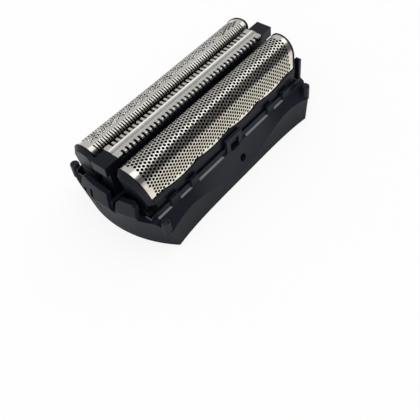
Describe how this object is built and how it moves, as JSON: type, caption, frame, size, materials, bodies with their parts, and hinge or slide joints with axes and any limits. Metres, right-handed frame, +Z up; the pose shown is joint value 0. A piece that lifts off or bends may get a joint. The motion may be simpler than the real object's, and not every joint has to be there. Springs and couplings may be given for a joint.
{
  "type": "foil shaver head for a hair clipper",
  "caption": "Clip-on foil shaver head for a hair clipper: two sprung perforated foils side by side, a toothed trimmer comb between them, in a black moulded frame.",
  "frame": {"origin": "middle of the base rim's plane, under the middle of the trimmer comb", "axes": "+X along the foils towards the far end, +Y towards the left foil, +Z up out of the cutting side"},
  "size_m": [0.0512, 0.026, 0.0169],
  "materials": {
    "black_plastic": "satin moulded",
    "pale_plastic": "plain moulded",
    "foil_steel": "polished, perforated",
    "comb_steel": "satin",
    "blade_steel": "ground",
    "spring_steel": "bright strip"
  },
  "bodies": {
    "frame": {"frame": "black_plastic", "foil_spring_left_near": "spring_steel", "foil_spring_left_far": "spring_steel", "foil_spring_right_near": "spring_steel", "foil_spring_right_far": "spring_steel", "trimmer_spring_near": "spring_steel", "trimmer_spring_far": "spring_steel"},
    "foil_left": {"foil_left": "foil_steel", "rail_left_outer": "black_plastic", "rail_left_inner": "black_plastic", "cap_left_near": "black_plastic", "cap_left_far": "black_plastic"},
    "foil_right": {"foil_right": "foil_steel", "rail_right_outer": "black_plastic", "rail_right_inner": "black_plastic", "cap_right_near": "black_plastic", "cap_right_far": "black_plastic"},
    "trimmer": {"trimmer_carrier": "black_plastic", "trimmer_guard": "comb_steel"},
    "blade": {"trimmer_blade": "blade_steel", "trimmer_slider": "pale_plastic", "blade_springs": "spring_steel"}
  },
  "joints": [
    {"name": "foil_left_float", "type": "slide", "parent": "frame", "child": "foil_left", "axis": [0, 0, -1], "range_m": [0, 0.0012], "stiffness_N_per_m": 400, "springref_m": -0.0006, "deforming": ["foil_spring_left_near", "foil_spring_left_far"]},
    {"name": "foil_right_float", "type": "slide", "parent": "frame", "child": "foil_right", "axis": [0, 0, -1], "range_m": [0, 0.0012], "stiffness_N_per_m": 400, "springref_m": -0.0006, "deforming": ["foil_spring_right_near", "foil_spring_right_far"]},
    {"name": "trimmer_float", "type": "slide", "parent": "frame", "child": "trimmer", "axis": [0, 0, -1], "range_m": [0, 0.001], "stiffness_N_per_m": 500, "springref_m": -0.0006, "deforming": ["trimmer_spring_near", "trimmer_spring_far"]},
    {"name": "trimmer_stroke", "type": "slide", "parent": "trimmer", "child": "blade", "axis": [1, 0, 0], "range_m": [-0.001, 0.001]}
  ]
}
